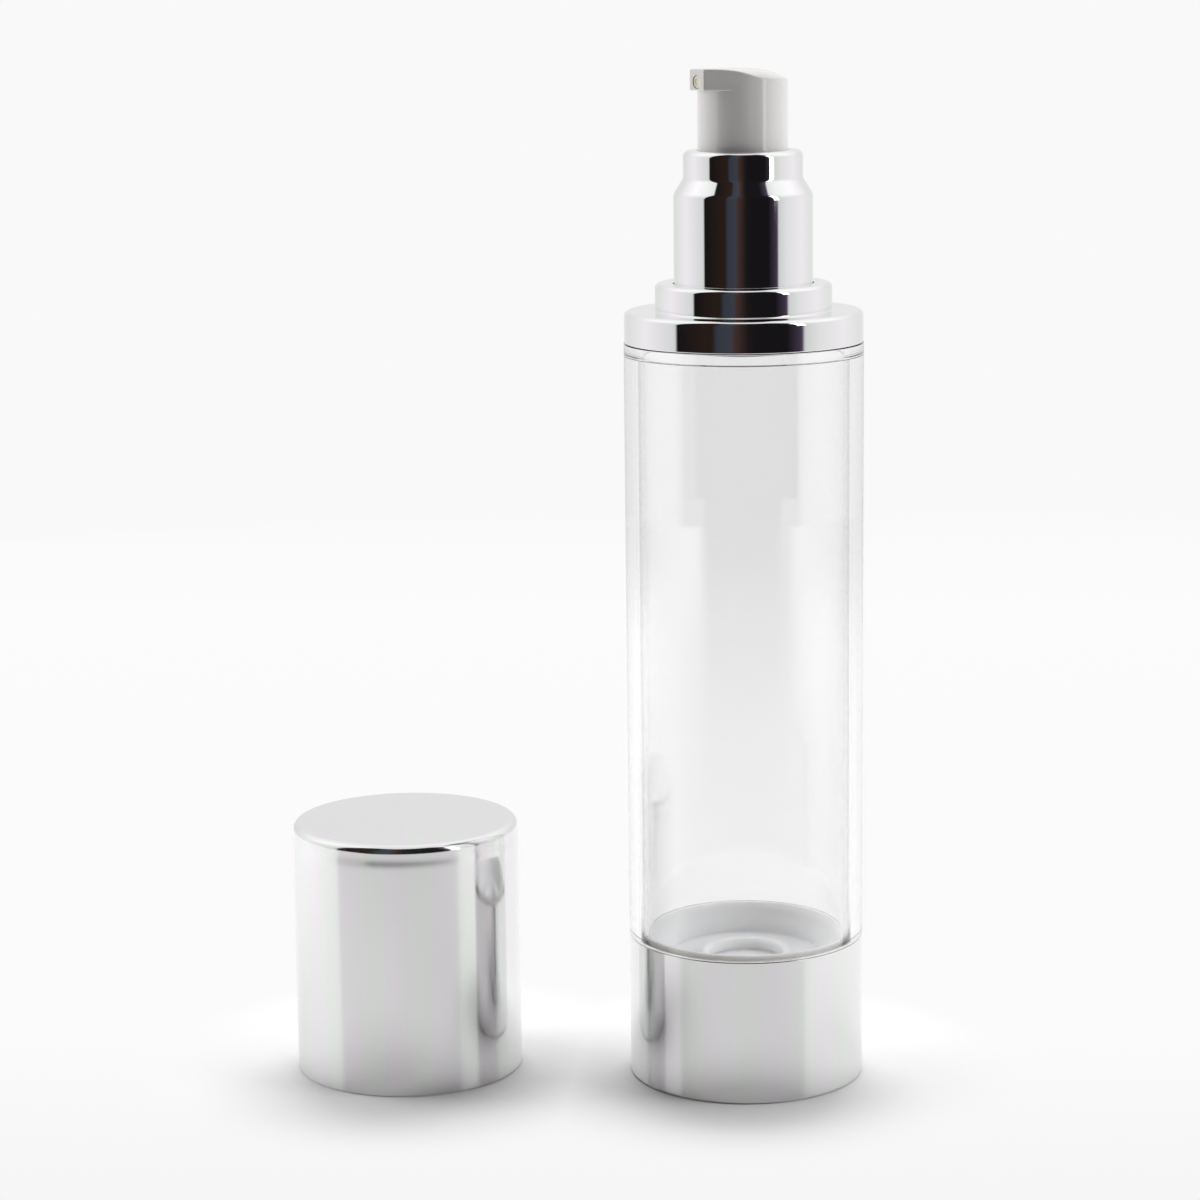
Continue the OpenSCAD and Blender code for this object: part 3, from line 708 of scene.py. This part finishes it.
class AIRLESS_OT_actuator(bpy.types.Operator):
    """White push button with its nozzle, and the ivory bush in the outlet"""

    bl_idname = "airless.actuator"
    bl_label = "Actuator"

    edge, under_edge, tip_rounding = 0.4 * MM, 0.25 * MM, 0.35 * MM
    back_curve, back_start = 14.6 * MM, 1.0 * MM
    side_span, side_drop, side_power = 6.15 * MM, 0.65 * MM, 4.3
    skirt_wall, post_radius, stem_bore = 1.0 * MM, 3.8 * MM, 2.45 * MM
    hollow_rise, post_drop, under_grow = 1.0 * MM, 6.2 * MM, 0.5 * MM
    outlet_rise, bush_wall, bush_long = 1.45 * MM, 0.35 * MM, 3.0 * MM
    bush_inset, dimple_deep, air = 0.15 * MM, 0.15 * MM, 0.05 * MM

    def execute(self, context):
        size, look = chosen(context)
        finish_piece(self.button(size), "push_button", "actuator",
                     solid_plastic("White actuator", look.white, 0.16, coat=1.0))
        finish_piece(self.bush(size), "push_button", "nozzle_insert",
                     solid_plastic("Ivory bush", look.ivory, 0.3))
        return {"FINISHED"}

    def crown(self, u, v):
        """Height of the top at plan point (u, v), with u along the nozzle and v across it.

        It is level from the nozzle's end to near the axis, falls on an arc behind that, and drops at both
        sides with a high power of the distance across.
        """
        behind = np.clip(self.back_start - u, 0, 0.99 * self.back_curve)
        back = self.back_curve - np.sqrt(self.back_curve ** 2 - behind ** 2)
        side = self.side_drop * (np.abs(v) / self.side_span) ** self.side_power
        return top("actuator") - back - side

    def plan(self, size):
        """Plan of the head, going round from the nozzle's end: a circle with the nozzle's sides tangent."""
        r, far, half = size.button_radius, size.nozzle_reach, size.nozzle_width / 2
        touch = math.atan2(half, far) + math.acos(r / math.hypot(far, half))
        meet = r * np.array([math.cos(touch), math.sin(touch)])
        rounding = fillet(np.array([far, 0.0]), np.array([far, half]), meet, self.tip_rounding)
        end = np.stack([np.full(6, far), np.linspace(0, rounding[0, 1], 7)[:-1]], axis=1)
        side = rounding[-1] + (meet - rounding[-1]) * np.linspace(0, 1, 26)[1:-1, None]
        angle = np.linspace(touch, math.pi, 80)
        arc = r * np.stack([np.cos(angle), np.sin(angle)], axis=1)
        one = np.concatenate([end, rounding, side, arc])
        return np.concatenate([one, one[-2:0:-1] * [1, -1]])

    def button(self, size):
        """Surface of the button on a grid: one column for each plan point, one row for each level.

        A column climbs from the hollow underneath over the skirt's rim and the round side, steps out under
        the nozzle, climbs its side, turns over the edge on an arc that ends at the slope of the crown, and
        runs over the crown to the axis.
        """
        plan = self.plan(size)
        ahead = np.roll(plan, -1, axis=0) - np.roll(plan, 1, axis=0)
        out = np.stack([ahead[:, 1], -ahead[:, 0]], axis=1)
        out /= np.linalg.norm(out, axis=1, keepdims=True)
        from_axis = np.linalg.norm(plan, axis=1, keepdims=True)
        low, lip, r = foot("actuator"), top("actuator") - size.nozzle_height, size.button_radius
        skirt, post, stem = r - self.skirt_wall, self.post_radius, self.stem_bore
        stem_top = top("stem") + self.air
        hollow, post_low = top("stem") + self.hollow_rise, top("stem") - self.post_drop
        rows = [np.column_stack([plan / from_axis * radius, np.full(len(plan), z)]) for radius, z in (
            (0, stem_top), (stem, stem_top), (stem, post_low), (post, post_low), (post, hollow),
            (skirt, hollow), (skirt, low + 0.1 * MM), (skirt + 0.1 * MM, low), (r - 0.2 * MM, low),
            (r, low + 0.2 * MM), (r, low + 0.25 * MM), (r, lip - self.air), (r, lip))]

        # The under side of the nozzle turns up on an arc, which shrinks to nothing where the nozzle ends
        turn_in = self.under_edge * np.clip((from_axis[:, 0] - r) / self.under_grow, 0, 1)
        for a in np.linspace(-math.pi / 2, 0, 6):
            shift = -out * (turn_in * (1 - math.cos(a)))[:, None]
            rows.append(np.column_stack([plan + shift, lip + turn_in * (1 + math.sin(a))]))

        # The edge's arc ends where it is as steep as the crown, which three rounds find well enough
        inset, step = np.full(len(plan), self.edge), 0.01 * MM
        for _ in range(3):
            spot = plan - out * inset[:, None]
            inner = spot - out * step
            slope = (self.crown(*inner.T) - self.crown(*spot.T)) / step
            last = math.pi / 2 - np.arctan(slope)
            inset = self.edge * (1 - np.cos(last))
        rim = plan - out * inset[:, None]
        centre_z = self.crown(*rim.T) - self.edge * np.sin(last)
        rows.append(np.column_stack([plan, centre_z - SUPPORT]))
        for a in last * np.linspace(0, 1, 9)[:, None]:
            shift = -out * (self.edge * (1 - np.cos(a)))[:, None]
            rows.append(np.column_stack([plan + shift, centre_z + self.edge * np.sin(a)]))
        for k in np.concatenate([[0.995], np.linspace(0.97, 0.0, 32)]):
            spot = rim * k
            rows.append(np.column_stack([spot, self.crown(*spot.T)]))
        points = self.turned(np.stack(rows), size)
        button = mesh_object("white_actuator", points, grid_faces(len(rows), len(plan), False))
        self.cut_outlet(button, size)
        return button

    @staticmethod
    def turned(points, size):
        """Points in the nozzle's own frame turned about the upright axis to the nozzle's direction."""
        c, s = math.cos(size.nozzle_angle), math.sin(size.nozzle_angle)
        u, v, z = points[..., 0], points[..., 1], points[..., 2]
        return np.stack([c * u - s * v, s * u + c * v, z], axis=-1)

    def along_nozzle(self, name, corners, size):
        """Lathe about the outlet's axis: the corners are (radius, distance along the nozzle)."""
        piece = lathe(name, outline(corners), around=64)
        local = np.empty(len(piece.data.vertices) * 3)
        piece.data.vertices.foreach_get("co", local)
        x, y, z = local.reshape(-1, 3).T
        height = top("actuator") - size.nozzle_height + self.outlet_rise
        placed = self.turned(np.stack([z, x, y + height], axis=-1), size)
        piece.data.vertices.foreach_set("co", placed.ravel())
        piece.data.update()
        return piece

    def cut_outlet(self, button, size):
        """Cuts the pocket of the bush into the nozzle's end face, a hair wider and longer than the bush."""
        far = size.nozzle_reach + 1 * MM
        near = size.nozzle_reach - self.bush_inset - self.bush_long - self.air
        pocket = size.outlet_radius + self.bush_wall + self.air
        corners = [(0, near), (pocket, near), (pocket, far), (0, far)]
        cutter = self.along_nozzle("outlet_cutter", corners, size)
        cut = button.modifiers.new("Outlet", "BOOLEAN")
        cut.operation, cut.solver, cut.object = "DIFFERENCE", "EXACT", cutter
        done = bpy.data.meshes.new_from_object(button.evaluated_get(bpy.context.evaluated_depsgraph_get()))
        button.modifiers.clear()
        button.data = done
        smooth(done)
        bpy.data.objects.remove(cutter)

    def bush(self, size):
        """Ivory bush, a short plug along the nozzle with a shallow dimple in its end face."""
        hole, far = size.outlet_radius, size.nozzle_reach - self.bush_inset
        r, near, dimple = hole + self.bush_wall, far - self.bush_long, far - self.dimple_deep
        return self.along_nozzle("ivory_outlet_bush", [
            (0, near), (r, near, 0.08), (r, far, 0.1), (hole, far, 0.12), (0.6 * hole, dimple, 0.1),
            (0, dimple)], size)


class AIRLESS_OT_overcap(bpy.types.Operator):
    """Silver overcap with its white liner"""

    bl_idname = "airless.overcap"
    bl_label = "Overcap"

    sides, edge = 320, 1.3 * MM
    draw_place, draw_half, draw_slope = 3.05 * MM, 1.5 * MM, math.radians(3.9)
    grip, flange, gap, roof, roof_in = 7.15 * MM, 1.2 * MM, 0.05 * MM, 1.0 * MM, 1.2 * MM

    def execute(self, context):
        size, look = chosen(context)
        centre = middle("overcap_shell")
        low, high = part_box("overcap_shell")
        r, cap_top = (high.x - low.x) / 2, high.z
        bore, ceiling = r - size.cap_wall, cap_top - size.cap_top
        turned_piece("silver_overcap", "overcap", "overcap_shell", [
            (0, ceiling), (bore, ceiling, (self.edge - size.cap_wall) / MM), (bore, 0, 0.1), (r, 0, 0.25),
            *self.drawn_wall(r, cap_top), (r - self.drawn_in(), cap_top, self.edge / MM), (0, cap_top)],
            bright_metal("Aluminium overcap", look.aluminium, look.aluminium_rough, centre, 15.0),
            centre, self.sides)

        mouth, out = size.opening_radius + self.grip, bore - self.gap
        wall, roof_r = mouth + size.liner_wall, bore - self.roof_in
        bottom, roof = foot("overcap_liner"), top("overcap_liner")
        flange, ceiling = bottom + self.flange, roof - self.roof
        turned_piece("white_cap_liner", "overcap", "overcap_liner", [
            (0, ceiling), (mouth, ceiling, 0.5), (mouth, bottom, 0.3), (out, bottom, 0.2),
            (out, flange, 0.1), (wall, flange, 0.3), (wall, ceiling, 0.3), (roof_r, ceiling, 0.1),
            (roof_r, roof, 0.1), (0, roof)],
            solid_plastic("White liner", look.insert, 0.35), centre)
        return {"FINISHED"}

    def drawn_in(self):
        """How much narrower the shell is above the place where it was drawn."""
        return math.tan(self.draw_slope) * self.draw_half

    def drawn_wall(self, r, high):
        """Outline of the outer wall just below the top, where the drawn cup leans in.

        The slope follows slope * (1 + cos(pi t)) / 2 for t from -1 to 1, so the inset is half of
        drawn_in * (1 + t + sin(pi t) / pi).
        """
        t = np.linspace(-1, 1, 17)
        inset = self.drawn_in() * (1 + t + np.sin(math.pi * t) / math.pi) / 2
        z = high - self.draw_place + t * self.draw_half
        return [(r - i, height) for i, height in zip(inset, z)]


class AIRLESS_OT_pump(bpy.types.Operator):
    """Finishes of the pump pieces that keep their CAD meshes, and the wound return spring"""

    bl_idname = "airless.pump"
    bl_label = "Pump pieces"

    def execute(self, context):
        size, look = chosen(context)
        natural = solid_plastic("Natural pump", look.natural, 0.35, glow=0.25)
        insert = solid_plastic("White pump", look.insert, 0.35)
        steel = bright_metal("Spring steel", look.steel, 0.18, depth=0.01)
        for node, material in (
                ("pump_housing", natural), ("stem", natural), ("stem_plug", natural), ("stem_guide", insert),
                ("screw_closure", insert), ("inlet_ball", steel),
                ("neck_gasket", solid_plastic("Grey washer", look.gasket, 0.7, mottle=0.2)),
                ("pump_piston", solid_plastic("Soft piston", look.natural, 0.45, glow=0.4))):
            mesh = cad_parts[node].data
            mesh.materials.clear()
            mesh.materials.append(material)
        low, high = foot("return_spring"), top("return_spring")
        spring = finish_piece(self.spring(low, high), "pump", "return_spring", steel)
        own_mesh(spring)
        return {"FINISHED"}

    @staticmethod
    def spring(low, high):
        """Return spring: a round wire carried along a helix with closer end turns.

        At turn t the centre line is at radius mean and height low + wire + up(t), and the wire's skin lies
        wire * (cos b, sin b) from it. up climbs by end_pitch in the first and last turn, evenly in between.
        """
        wire, end_gap, turns, per_turn, sides = 0.4 * MM, 0.45 * MM, 6, 48, 16
        mean, end_pitch = reach("return_spring") - wire, 2 * wire + end_gap
        middle_rise = high - low - 2 * wire - 2 * end_pitch
        t = np.linspace(0, turns, turns * per_turn + 1)
        up = end_pitch * (np.minimum(t, 1) + np.maximum(0, t - turns + 1))
        up += middle_rise / (turns - 2) * np.clip(t - 1, 0, turns - 2)
        b = np.linspace(0, 2 * math.pi, sides, endpoint=False)[None, :]
        angle = (2 * math.pi * t)[:, None]
        r = mean + wire * np.cos(b)
        z = low + wire + up[:, None] + wire * np.sin(b)
        return wound("steel_return_spring", np.stack([r * np.cos(angle), r * np.sin(angle), z], axis=-1))


# Stage


def turned_to(holder, x, y, z, place):
    """Puts an object at a place with its own axes along x, y and z."""
    matrix = np.eye(4)
    matrix[:3] = np.stack([x, y, z, place], axis=1)
    holder.matrix_world = Matrix(matrix.tolist())


def gap_to(tree, place, spot, radius=0.0):
    """How far a point of the floor lies outside the round foot of a piece."""
    away = add_node(tree, "ShaderNodeVectorMath", {0: place, 1: (*spot, 0)}, operation="DISTANCE")
    return calc(tree, "SUBTRACT", away.outputs["Value"], radius)


def azimuth_to(tree, place):
    """How far a point or direction lies in front of the axis, and its azimuth from front to right."""
    x, y, _ = split(tree, place)
    forward = times(tree, y, -1.0)
    return forward, calc(tree, "ARCTAN2", x, forward)


def after_bounce(tree):
    """1 for light that has left a surface, 0 for what the camera sees directly or through clear walls."""
    path = light_path(tree)
    return calc(tree, "GREATER_THAN", calc(tree, "ADD", path["Glossy Depth"], path["Diffuse Depth"]), 0.5)


class AIRLESS_OT_stage(bpy.types.Operator):
    """Pale floor and surroundings, soft lamps and the camera"""

    bl_idname = "airless.stage"
    bl_label = "Stage"

    floor_radius = 0.62
    floor_sides = 96
    # The sector in front, in azimuth, where the floor is painted dark for reflections and bounce light,
    # fading into the dim room's colour
    dark_middle, dark_full, dark_end = math.radians(2), math.radians(38), math.radians(62)
    # The lit floor turns into plain colour: for the camera by the gap to a piece, else away from the axis,
    # where its rim glows plain grey for reflections and bounce light as the tent's walls
    fade_near, fade_far = 4 * MM, 32 * MM
    rim_near, rim_far, rim_level = 0.36, 0.60, 0.84
    # The painted shade of the floor where metal mirrors it, as a share of its colour, and the floor's
    # roughness as seen and as mirrored
    mirrored_share, floor_rough, mirrored_rough = 0.80, 0.6, 0.22
    speckle_share = 0.99
    # What the camera sees of the floor, from seen_front in front of the bottle back to its far rim: painted
    # shading, darkest about 0.1 m in front of the bottle and brightest behind it
    seen_front = 0.40
    painted_floor_levels = ((0.29, 0.915), (0.338, 0.925), (0.412, 0.962), (0.816, 0.974))
    # Levels and colours of the walls by degrees of azimuth, None where the open front shows the room
    walls = (
        (-180, 1.07), (-150, 1.01), (-108, 1.22), (-72, 0.98), (-68.5, 0.91), (-66.5, None),
        (-38, (0.028, 0.016, 0.012)), (-30, (0.026, 0.016, 0.013)), (-25, (0.047, 0.056, 0.078)),
        (-12, (0.060, 0.064, 0.082)), (-8, (0.070, 0.040, 0.033)), (4, (0.016, 0.013, 0.013)), (12, None),
        (42, None), (54, (0.058, 0.042, 0.070)), (58, (0.10, 0.07, 0.12)), (61, 0.90), (78, 1.08),
        (110, 1.22), (146, 1.06), (180, 1.07))
    # The share of those levels that the walls give, and the elevations between which it grows
    walls_share, walls_rise = 0.79, (12, 40)
    # The ceiling, with the elevations between which it takes over, and a tall lamp with its window
    ceiling_level, ceiling_rise = 0.87, (68, 76)
    strip_level, strip_sides, strip_ends = 2.2, (52, 61.5), (-3.7, 45)

    def execute(self, context):
        stage = context.scene.bottle_stage
        self.camera(context, stage)
        self.floor(stage)
        self.surroundings(context, stage)
        self.lamps(stage)
        context.scene.view_settings.view_transform = "Standard"
        return {"FINISHED"}

    @staticmethod
    def camera(context, stage):
        """Camera in front of the bottle, turned by yaw, then pitch, then roll."""
        pitch, yaw, roll = (math.radians(a) for a in (stage.pitch, stage.yaw, stage.roll))
        level = math.cos(pitch)
        ahead = np.array([math.sin(yaw) * level, math.cos(yaw) * level, -math.sin(pitch)])
        right = np.array([math.cos(yaw), -math.sin(yaw), 0.0])
        up = np.cross(right, ahead)
        data = bpy.data.cameras.new("Camera")
        data.lens, data.sensor_width = stage.focal, 36
        data.clip_start, data.clip_end = 0.01, 50
        holder = bpy.data.objects.new("Camera", data)
        context.scene.collection.objects.link(holder)
        turned_to(holder, math.cos(roll) * right + math.sin(roll) * up,
                  math.cos(roll) * up - math.sin(roll) * right, -ahead,
                  np.array([0, -stage.camera_back, stage.camera_height]))
        context.scene.camera = holder

    def floor(self, stage):
        """Pale floor, a disc round the bottle that is painted dark in front, fading into the dim room, for
        reflections and bounce light.

        Away from the pieces the camera sees it in plain colours near the backdrop's, with painted shading by
        depth.
        Metal mirrors it with a satin gloss and a darker painted colour, it throws light back onto the pieces
        from a darker copy of its colour, and for reflections and bounce light its rim glows plain grey as
        the tent's walls.
        """
        angle = np.arange(self.floor_sides) * (2 * math.pi / self.floor_sides)
        edge = self.floor_radius * np.stack([np.cos(angle), np.sin(angle), 0 * angle], axis=1)
        faces = grid_faces(2, self.floor_sides, False)[..., ::-1]
        floor = mesh_object("floor", np.stack([0 * edge, edge]), faces)
        material, tree, shader = new_material("Floor")
        place, path = object_place(tree), light_path(tree)
        forward, azimuth = azimuth_to(tree, place)
        # Painted dark front: for reflections and bounce light the floor's colour turns to the room's in the
        # sector ahead
        aside = calc(tree, "ABSOLUTE", calc(tree, "SUBTRACT", azimuth, self.dark_middle))
        sector = ease(tree, aside, self.dark_full, self.dark_end, 1.0, 0.0)
        from_axis = gap_to(tree, place, (0.0, 0.0))
        painted_dark_front = ease(tree, times(tree, from_axis, sector), stage.floor_front, stage.floor_end)

        speckle = map_range(tree, noise(tree, place, 900.0), *NOISE_SPAN)
        dim = tuple(self.speckle_share * c for c in stage.floor_lit)
        pale = blend_colours(tree, speckle, dim, stage.floor_lit)
        # Painted shade: bounce light comes from the darker floor_return, and metal mirrors a darker share of
        # the floor colour
        lighting = calc(tree, "GREATER_THAN", path["Diffuse Depth"], 0.5)
        mirrored = calc(tree, "GREATER_THAN", path["Glossy Depth"], 0.5)
        pale = blend_colours(tree, lighting, pale, stage.floor_return)
        pale = blend_colours(tree, mirrored, pale, tuple(self.mirrored_share * c for c in stage.floor))
        fill(shader, {
            "Base Color": blend_colours(tree, painted_dark_front, pale, stage.room),
            "Roughness": map_range(tree, mirrored, 0, 1, self.floor_rough, self.mirrored_rough)})

        gaps = [gap_to(tree, place, spot, reach("base_shell")) for spot in ((0, 0), middle("overcap_shell"))]
        far = ease(tree, calc(tree, "MINIMUM", *gaps), self.fade_near, self.fade_far)
        outer = ease(tree, from_axis, self.rim_near, self.rim_far)
        backdrop = stage.backdrop[0]
        # Painted shading of the floor as the camera sees it away from the pieces, by depth
        depth = map_range(tree, forward, self.seen_front, -self.floor_radius)
        seen = colour_ramp(tree, depth, ((0, backdrop), *self.painted_floor_levels, (1, backdrop)))
        # The rim's plain glow for reflections and bounce light, painted dark too where the front is painted
        # dark
        rim = blend_colours(tree, painted_dark_front, grey(self.rim_level), stage.room)
        bounced = after_bounce(tree)
        plain = add_node(tree, "ShaderNodeEmission", {"Color": blend_colours(tree, bounced, seen, rim)})
        blend_shaders(tree, map_range(tree, bounced, 0, 1, far, outer), shader, plain)
        floor.data.materials.append(material)

    def surroundings(self, context, stage):
        """Pale tent all round, with a dim room seen through its open front in reflections only.

        The colour goes by the azimuth from the front, and by the height above it.
        """
        world = bpy.data.worlds.new("Surroundings")
        context.scene.world = world
        world.use_nodes = True
        tree = world.node_tree
        tree.nodes.clear()
        way = add_node(tree, "ShaderNodeTexCoord").outputs["Generated"]
        azimuth, rise = azimuth_to(tree, way)[1], split(tree, way)[2]
        stops = [((degrees + 180) / 360, value or tuple(stage.room)) for degrees, value in self.walls]
        room = colour_ramp(tree, map_range(tree, azimuth, -math.pi, math.pi), stops)
        level = ease(tree, rise, *self.rises(self.walls_rise), self.walls_share,
                     self.walls_share * stage.high_walls)
        room = add_node(tree, "ShaderNodeVectorMath", {0: room, "Scale": level}, operation="SCALE")
        ceiling = ease(tree, rise, *self.rises(self.ceiling_rise))
        room = blend_colours(tree, ceiling, room.outputs["Vector"], grey(self.ceiling_level))
        room = blend_colours(tree, self.bright_strip(tree, azimuth, rise), room, grey(self.strip_level))
        seen = blend_colours(tree, after_bounce(tree), stage.backdrop, room)
        light = add_node(tree, "ShaderNodeBackground", {"Color": seen})
        add_node(tree, "ShaderNodeOutputWorld", {"Surface": light.outputs["Background"]})

    @staticmethod
    def rises(elevations):
        """Heights of the unit directions at some elevations in degrees."""
        return [math.sin(math.radians(elevation)) for elevation in elevations]

    def bright_strip(self, tree, azimuth, rise):
        """1 where a tall lamp stands at the right of the open front, for what metal mirrors directly."""
        depth = light_path(tree)["Glossy Depth"]
        sides, ends = [math.radians(side) for side in self.strip_sides], self.rises(self.strip_ends)
        return times(tree, *(
            calc(tree, test, value, end)
            for value, span in ((azimuth, sides), (rise, ends), (depth, (0.5, 1.5)))
            for test, end in zip(("GREATER_THAN", "LESS_THAN"), span)))

    @staticmethod
    def panel(name, size, place, target, brightness):
        """Rectangular lamp that faces a target; its power is brightness * pi * area, so that 1 is white."""
        wide, tall = size
        data = bpy.data.lights.new(name, "AREA")
        data.shape, data.size, data.size_y = "RECTANGLE", wide, tall
        data.energy = brightness * math.pi * wide * tall
        lamp = bpy.data.objects.new(name, data)
        bpy.context.scene.collection.objects.link(lamp)
        place = np.array(place, float)
        back = unit(place - target)
        side = unit(np.cross([0.0, 0.0, 1.0], back))
        turned_to(lamp, side, np.cross(back, side), back, place)
        lamp.visible_camera = lamp.visible_glossy = lamp.visible_transmission = False

    def lamps(self, stage):
        """A wide panel above and behind, and a soft one at each side."""
        self.panel("Top panel", (0.7, 0.5), (0, 0.55, 0.75), (0, 0, 0.08), stage.top_light)
        away, height, width, aim = 0.53, 0.24, 0.30, 0.16
        for name, bearing, brightness in (
                ("Right panel", 80, stage.right_light), ("Left panel", -104, stage.left_light)):
            a = math.radians(bearing)
            place = (away * math.sin(a), -away * math.cos(a), height)
            self.panel(name, (width, width), place, (0, 0, aim), brightness)


class AIRLESS_PT_panel(bpy.types.Panel):
    """Sidebar panel with a button for each piece and the stage"""

    bl_label = "Airless bottle"
    bl_idname = "AIRLESS_PT_panel"
    bl_space_type = "VIEW_3D"
    bl_region_type = "UI"
    bl_category = "Bottle"

    def draw(self, context):
        for step in STEPS:
            self.layout.operator(step.bl_idname)


STEPS = (
    AIRLESS_OT_stage, AIRLESS_OT_base, AIRLESS_OT_clear_body, AIRLESS_OT_follower, AIRLESS_OT_shoulder,
    AIRLESS_OT_collar, AIRLESS_OT_actuator, AIRLESS_OT_overcap, AIRLESS_OT_pump,
)
GROUPS = {"bottle_sizes": BottleSizes, "bottle_finish": BottleFinish, "bottle_stage": StageSettings}


def register():
    for group in GROUPS.values():
        bpy.utils.register_class(group)
    for label, group in GROUPS.items():
        setattr(bpy.types.Scene, label, bpy.props.PointerProperty(type=group))
    for step in (*STEPS, AIRLESS_PT_panel):
        bpy.utils.register_class(step)


def unregister():
    for step in (AIRLESS_PT_panel, *reversed(STEPS)):
        bpy.utils.unregister_class(step)
    for label in GROUPS:
        delattr(bpy.types.Scene, label)
    for group in GROUPS.values():
        bpy.utils.unregister_class(group)


def main():
    register()
    for step in STEPS:
        group, call = step.bl_idname.split(".")
        getattr(getattr(bpy.ops, group), call)()


if __name__ == "__main__":
    main()
